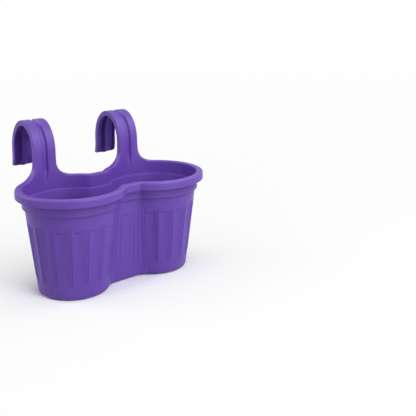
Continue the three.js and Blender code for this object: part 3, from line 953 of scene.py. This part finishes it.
# %% Smooth the shading and take the place of the CAD body
SHARP_FROM = math.radians(40)
body.data.set_sharp_from_angle(angle=SHARP_FROM)
weighted = body.modifiers.new("weighted", "WEIGHTED_NORMAL")
weighted.keep_sharp = True
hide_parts("planter_body")
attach(body, "planter")
print("faces:", len(body.data.polygons))

# %% [markdown]
# ## Finishes shared by the plastics
# The planter is moulded in satin polypropylene. Four effects make such a surface: the fine spark
# texture of the mould, a slow drift of colour and gloss where the melt flowed, edges polished by
# handling, and a little dust on what faces up. They could be drawn as pictures, but noise in the
# object's own space needs no seams and no files. Each effect is a node group with its own inputs,
# so the body and the plugs share it with their own values.

# %% Node helpers
VALUE = "NodeSocketFloat"
COLOUR = "NodeSocketColor"


def node(tree, kind, inputs=None, **settings):
    """A node with its settings. An input that is a socket is linked, and any other is set."""
    made = tree.nodes.new(kind)
    for name, value in settings.items():
        setattr(made, name, value)
    for name, value in (inputs or {}).items():
        if isinstance(value, bpy.types.NodeSocket):
            tree.links.new(value, made.inputs[name])
        else:
            made.inputs[name].default_value = value
    return made


def math_node(tree, operation, *values, clamp=False):
    inputs = dict(enumerate(values))
    return node(tree, "ShaderNodeMath", inputs, operation=operation, use_clamp=clamp).outputs[0]


def mixed(tree, share, first, second):
    """The colour that lies that share of the way from the first to the second."""
    inputs = {0: share, 6: first, 7: second}
    return node(tree, "ShaderNodeMix", inputs, data_type="RGBA").outputs[2]


def noise(tree, place, scale, detail):
    inputs = {"Vector": place, "Scale": scale, "Detail": detail}
    return node(tree, "ShaderNodeTexNoise", inputs).outputs["Fac"]


def own_place(tree):
    return node(tree, "ShaderNodeTexCoord").outputs["Object"]


print("the nodes read places in the piece's own space")

# %% A node group with named inputs and outputs
effects = {}


def new_group(name, inputs, outputs):
    """A shader node group. inputs are (name, kind, default) and outputs are (name, kind)."""
    tree = bpy.data.node_groups.new(name, "ShaderNodeTree")
    for label, kind, default in inputs:
        socket = tree.interface.new_socket(label, in_out="INPUT", socket_type=kind)
        socket.default_value = default
    for label, kind in outputs:
        tree.interface.new_socket(label, in_out="OUTPUT", socket_type=kind)
    given = tree.nodes.new("NodeGroupInput")
    result = tree.nodes.new("NodeGroupOutput")
    print(name, "gives", ", ".join(label for label, _ in outputs))
    return tree, given.outputs, result.inputs


print("each effect prints what it gives when it is made")

# %% [markdown]
# ## Spark texture of the mould
# A mould for satin ware is etched by sparks, so the plastic comes out with fine pits. A single noise
# would look even and dead. Two sizes are mixed, and the coarse one drifts the gloss as well.

# %% Spark texture
COARSER = 0.22  # scale of the coarse grain, as a share of the fine one's


def spark_texture():
    tree, given, result = new_group(
        "spark_texture",
        [("Grain size", VALUE, 0.0009), ("Coarse share", VALUE, 0.35)],
        [("Height", VALUE), ("Gloss", VALUE)],
    )
    place = own_place(tree)
    scale = math_node(tree, "DIVIDE", 1.0, given["Grain size"])
    fine = noise(tree, place, scale, 3.0)
    coarse = noise(tree, place, math_node(tree, "MULTIPLY", scale, COARSER), 2.0)
    inputs = {0: given["Coarse share"], 2: fine, 3: coarse}
    mix = node(tree, "ShaderNodeMix", inputs, data_type="FLOAT")
    tree.links.new(mix.outputs[0], result["Height"])
    tree.links.new(coarse, result["Gloss"])
    return tree


effects["spark_texture"] = spark_texture()

# %% [markdown]
# ## Flow of the melt
# Where the melt ran up the mould, faint upright streaks of deeper colour stay in the plastic. A
# flat colour would look like paint. Noise that is stretched along the height gives the streaks, and
# broad clouds break them up.

# %% Flow of the melt
STREAK_STRETCH = 0.16
STREAK_SCALE = 34.0
CLOUD_SCALE = 9.0
FLOW_GAIN = 4.0  # lifts the product of two noises to a share of about one


def melt_flow():
    tree, given, result = new_group(
        "melt_flow",
        [("Colour", COLOUR, (1, 1, 1, 1)), ("Deep colour", COLOUR, (0, 0, 0, 1)), ("Amount", VALUE, 0.1)],
        [("Colour", COLOUR), ("Gloss", VALUE)],
    )
    place = own_place(tree)
    upright = node(tree, "ShaderNodeMapping", {"Vector": place, "Scale": (1, 1, STREAK_STRETCH)})
    streaks = noise(tree, upright.outputs[0], STREAK_SCALE, 2.0)
    clouds = noise(tree, place, CLOUD_SCALE, 3.0)
    both = math_node(tree, "MULTIPLY", streaks, clouds)
    share = math_node(tree, "MULTIPLY", both, FLOW_GAIN, clamp=True)
    depth = math_node(tree, "MULTIPLY", share, given["Amount"])
    tree.links.new(mixed(tree, depth, given["Colour"], given["Deep colour"]), result["Colour"])
    tree.links.new(share, result["Gloss"])
    return tree


effects["melt_flow"] = melt_flow()

# %% [markdown]
# ## Handled edges
# Hands and rails rub the outward edges, which grow a little paler and smoother. They could be
# marked by hand, face by face. Blender's pointiness finds them instead, and noise breaks the mask
# up, because wear is never even.

# %% Handled edges
RUB_SCALE = 160.0


def handled_edges():
    tree, given, result = new_group(
        "handled_edges",
        [("From", VALUE, 0.52), ("To", VALUE, 0.6), ("Break up", VALUE, 0.5)],
        [("Mask", VALUE)],
    )
    convex = node(tree, "ShaderNodeNewGeometry").outputs["Pointiness"]
    ramp = node(tree, "ShaderNodeMapRange", {0: convex, 1: given["From"], 2: given["To"]})
    patches = noise(tree, own_place(tree), RUB_SCALE, 4.0)
    worn = math_node(tree, "MULTIPLY", patches, given["Break up"])
    kept = math_node(tree, "SUBTRACT", 1.0, worn, clamp=True)
    mask = math_node(tree, "MULTIPLY", ramp.outputs[0], kept, clamp=True)
    tree.links.new(mask, result["Mask"])
    return tree


effects["handled_edges"] = handled_edges()

# %% [markdown]
# ## Settled dust
# A little dust lies on the rim, the hooks' tops and the floors inside. It could be a layer of its
# own, but it is too thin for that. A mask of what faces up is enough, patchy at two sizes: broad
# drifts and single specks.

# %% Settled dust
UP_FROM = 0.35  # faces flatter than this catch dust
DRIFT_SCALE = 26.0
SPECK_SCALE = 900.0


def settled_dust():
    tree, given, result = new_group("settled_dust", [("Amount", VALUE, 0.1)], [("Mask", VALUE)])
    normal = node(tree, "ShaderNodeNewGeometry").outputs["Normal"]
    up = node(tree, "ShaderNodeSeparateXYZ", {0: normal}).outputs[2]
    facing = node(tree, "ShaderNodeMapRange", {0: up, 1: UP_FROM, 2: 1.0})
    place = own_place(tree)
    drifts = noise(tree, place, DRIFT_SCALE, 5.0)
    specks = noise(tree, place, SPECK_SCALE, 1.0)
    both = math_node(tree, "MULTIPLY", drifts, specks)
    spread = math_node(tree, "MULTIPLY", both, facing.outputs[0])
    mask = math_node(tree, "MULTIPLY", spread, given["Amount"], clamp=True)
    tree.links.new(mask, result["Mask"])
    return tree


effects["settled_dust"] = settled_dust()

# %% [markdown]
# ## The plastic itself
# One function makes a plastic from a colour and a few values, with the four effects inside it. Two
# copied materials would do as well, but they would drift apart. The body is a satin violet with
# slightly deeper streaks, and the plugs are a softer, duller polyethylene.

# %% Colour and gloss of a plastic
PALER = 1.5  # a handled edge is this much lighter than the plastic
PALE_LIFT = 0.03
WORN_SHARE = 0.35
DUST_COLOUR = (0.5, 0.47, 0.45, 1)
COARSE_DULLS = 0.1  # how much each mask adds to the roughness
FLOW_DULLS = 0.06
RUBBING_DULLS = -0.06
DUST_DULLS = 0.5


def plastic_colour(tree, flow, edges, dust, colour):
    """The flowing colour, paler on the handled edges, with dust over it."""
    pale = tuple(min(1, c * PALER + PALE_LIFT) for c in colour)
    share = math_node(tree, "MULTIPLY", edges["Mask"], WORN_SHARE)
    worn = mixed(tree, share, flow["Colour"], (*pale, 1))
    return mixed(tree, dust["Mask"], worn, DUST_COLOUR)


def plastic_roughness(tree, masks, roughness):
    """The plain roughness, to which each mask adds its share."""
    rough = roughness - COARSE_DULLS / 2
    for mask, share in masks:
        rough = math_node(tree, "MULTIPLY_ADD", mask, share, rough)
    return rough


print("dust adds", DUST_DULLS, "to the roughness, and rubbing takes", -RUBBING_DULLS)


# %% A moulded plastic
FLOW_AMOUNT = 0.5
COARSE_SHARE = 0.35
RUB_FROM = 0.52  # pointiness of 0.5 is flat, and more is an outward edge
RUB_TO = 0.6
RUB_BREAK_UP = 0.6
PIT_STRENGTH = 0.5
PLASTIC_IOR = 1.49


def moulded_plastic(name, colour, deep, roughness, grain, relief, dust):
    material = bpy.data.materials.new(name)
    material.use_nodes = True
    tree = material.node_tree
    shader = tree.nodes["Principled BSDF"]

    def effect(kind, **inputs):
        made = node(tree, "ShaderNodeGroup", node_tree=effects[kind])
        for label, value in inputs.items():
            made.inputs[label.replace("_", " ")].default_value = value
        return made.outputs

    flow = effect("melt_flow", Colour=(*colour, 1), Deep_colour=(*deep, 1), Amount=FLOW_AMOUNT)
    spark = effect("spark_texture", Grain_size=grain, Coarse_share=COARSE_SHARE)
    edges = effect("handled_edges", From=RUB_FROM, To=RUB_TO, Break_up=RUB_BREAK_UP)
    settled = effect("settled_dust", Amount=dust)
    masks = (
        (spark["Gloss"], COARSE_DULLS),
        (flow["Gloss"], FLOW_DULLS),
        (edges["Mask"], RUBBING_DULLS),
        (settled["Mask"], DUST_DULLS),
    )
    tree.links.new(plastic_colour(tree, flow, edges, settled, colour), shader.inputs["Base Color"])
    tree.links.new(plastic_roughness(tree, masks, roughness), shader.inputs["Roughness"])
    pits = {"Height": spark["Height"], "Strength": PIT_STRENGTH, "Distance": relief}
    tree.links.new(node(tree, "ShaderNodeBump", pits).outputs["Normal"], shader.inputs["Normal"])
    shader.inputs["IOR"].default_value = PLASTIC_IOR
    print(name, "roughness about", roughness)
    return material


# %% The body's plastic and the plugs' plastic
violet = moulded_plastic(
    "satin_violet_plastic",
    colour=(0.153, 0.063, 0.437),
    deep=(0.117, 0.049, 0.386),
    roughness=0.42,
    grain=0.0009,
    relief=0.00006,
    dust=0.12,
)
plug_violet = moulded_plastic(
    "matte_violet_plug",
    colour=(0.125, 0.062, 0.36),
    deep=(0.1, 0.05, 0.31),
    roughness=0.55,
    grain=0.0006,
    relief=0.00004,
    dust=0.2,
)


def finish(piece, plastic):
    piece.data.materials.clear()
    piece.data.materials.append(plastic)
    print(piece.name, "is", plastic.name)


finish(body, violet)
for name in ("left_drain_plug", "right_drain_plug"):
    finish(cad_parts[name], plug_violet)

# %% [markdown]
# ## Camera
# The photograph looks down on the planter from its left front. The camera could be placed by eye,
# but a small error in height or lens bends every ellipse. So its lens and its place come from the
# rim, the ledge, the base and the hooks of the planter in the picture.

# %% Camera
PHOTO_WIDTH = 416
FOCAL_PIXELS = 670.32
EYE_ROW = 118.65  # the picture's row that the lens points at; a shift frames the planter below it
SENSOR = 36
EYE = (-0.7195, -1.0941, 0.5247)
SIGHT = Vector((0.6549, 0.7394, -0.1561))
camera_data = bpy.data.cameras.new("camera")
camera_data.sensor_width = SENSOR
camera_data.lens = FOCAL_PIXELS / PHOTO_WIDTH * SENSOR
camera_data.shift_y = (EYE_ROW - PHOTO_WIDTH / 2) / PHOTO_WIDTH
camera = bpy.data.objects.new("camera", camera_data)
camera.location = EYE
camera.rotation_euler = SIGHT.to_track_quat("-Z", "Y").to_euler()
bpy.context.scene.collection.objects.link(camera)
bpy.context.scene.camera = camera
print("lens", round(camera_data.lens, 2), "mm")

# %% [markdown]
# ## Floor
# The planter stands on white studio paper, with a soft shadow under it that fades into plain white.
# More light would whiten the paper too, but it would wash out the plastic. So the white is painted
# into the paper, for the camera and for reflections only, and it puts no light on the planter.

# %% What the camera and the reflections see
def seen_directly(tree):
    """1 for camera, glossy and transmission rays, and 0 for the rays that carry light."""
    paths = node(tree, "ShaderNodeLightPath").outputs
    either = math_node(tree, "MAXIMUM", paths["Is Camera Ray"], paths["Is Glossy Ray"])
    return math_node(tree, "MAXIMUM", either, paths["Is Transmission Ray"])


def grey(level):
    return (level, level, level, 1)


print("the camera, reflections and glass see the white, and light does not")


# %% How far a place on the floor is from the pots
def vector_node(tree, operation, *values, output=0):
    inputs = dict(enumerate(values))
    return node(tree, "ShaderNodeVectorMath", inputs, operation=operation).outputs[output]


def away_from_pots(tree, place):
    """Metres from a place on the floor to the round of the nearer pot."""
    quarter = vector_node(tree, "ABSOLUTE", place)
    beyond = vector_node(tree, "SUBTRACT", quarter, (POT_X * MM, 0, 0))
    beyond = vector_node(tree, "MAXIMUM", beyond)
    reach = vector_node(tree, "LENGTH", beyond, output="Value")
    return math_node(tree, "MAXIMUM", math_node(tree, "SUBTRACT", reach, BASE_RADIUS * MM), 0.0)


print("a pot's round is", round(BASE_RADIUS * MM, 4), "m at the ground")

# %% Paper floor that fades to white
FLOOR_HALF = 12.0
PAPER = 0.96
PAPER_GRAIN = 0.015
PAPER_GRAIN_SCALE = 900.0
PAPER_BOUNCE = 0.45  # the paper's grey for the rays that carry light
FADE_REACH = 0.05  # this far from the pots the paper is half its own shade and half plain white


def studio_paper():
    paper = bpy.data.materials.new("studio_paper")
    paper.use_nodes = True
    tree = paper.node_tree
    tree.nodes.clear()
    seen = seen_directly(tree)
    place = node(tree, "ShaderNodeNewGeometry").outputs["Position"]
    away = away_from_pots(tree, place)
    fade = math_node(tree, "DIVIDE", away, math_node(tree, "ADD", away, FADE_REACH))
    grain = noise(tree, place, PAPER_GRAIN_SCALE, 2.0)
    tint = mixed(tree, grain, grey(PAPER - PAPER_GRAIN), grey(PAPER + PAPER_GRAIN))
    shown = mixed(tree, seen, grey(PAPER_BOUNCE), tint)
    matte = node(tree, "ShaderNodeBsdfDiffuse", {"Color": shown})
    white = node(tree, "ShaderNodeEmission", {"Color": grey(1), "Strength": 1.0})
    share = math_node(tree, "MULTIPLY", fade, seen)
    both = node(tree, "ShaderNodeMixShader", {0: share, 1: matte.outputs[0], 2: white.outputs[0]})
    tree.links.new(both.outputs[0], node(tree, "ShaderNodeOutputMaterial").inputs["Surface"])
    return paper


side = FLOOR_HALF / MM
corners = [(-side, -side, 0), (side, -side, 0), (side, side, 0), (-side, side, 0)]
floor = mesh_object("studio_floor", corners, [(0, 1, 2, 3)])
floor.data.materials.append(studio_paper())
print("floor is", 2 * FLOOR_HALF, "m wide")

# %% [markdown]
# ## Light
# Studio light for plain ware is broad and soft. One small lamp would give hard shadows and hot
# spots on satin plastic, so five discs, each a metre wide, share the work. One high in front casts
# the shadows under the rim and the scallops, a low one fills the walls, and the others shape the
# sides and the hooks. A dim room fills the rest, and it is seen as plain white.

# %% White room
ROOM_COLOUR = (0.95, 0.96, 1.0, 1)
ROOM_STRENGTH = 0.12
world = bpy.data.worlds.new("white_room")
bpy.context.scene.world = world
world.use_nodes = True
tree = world.node_tree
tree.nodes.clear()
room = node(tree, "ShaderNodeBackground", {"Color": ROOM_COLOUR, "Strength": ROOM_STRENGTH})
backdrop = node(tree, "ShaderNodeBackground", {"Color": grey(1), "Strength": 1.0})
inputs = {0: seen_directly(tree), 1: room.outputs[0], 2: backdrop.outputs[0]}
both = node(tree, "ShaderNodeMixShader", inputs)
tree.links.new(both.outputs[0], node(tree, "ShaderNodeOutputWorld").inputs["Surface"])
print("room strength", ROOM_STRENGTH)

# %% Soft lamps
LAMP_WIDTH = 1.0
LAMP_AIM = Vector((0, 0, 0.12))
LAMPS = (
    ("high_front", (0.1, -1.3, 1.5), 19),
    ("low_front", (0.1, -1.6, 0.5), 7.5),
    ("left", (-1.8, 0, 0.8), 6.5),
    ("back_left", (-1.2, 1.2, 1.2), 12),
    ("right", (1.2, -0.6, 1.25), 8),
)
for name, place, power in LAMPS:
    data = bpy.data.lights.new(name, "AREA")
    data.shape = "DISK"
    data.size = LAMP_WIDTH
    data.energy = power
    lamp = bpy.data.objects.new(name, data)
    lamp.location = place
    lamp.rotation_euler = (LAMP_AIM - Vector(place)).to_track_quat("-Z", "Y").to_euler()
    bpy.context.scene.collection.objects.link(lamp)
    print(name, power, "W")
bpy.context.scene.view_settings.view_transform = "Standard"
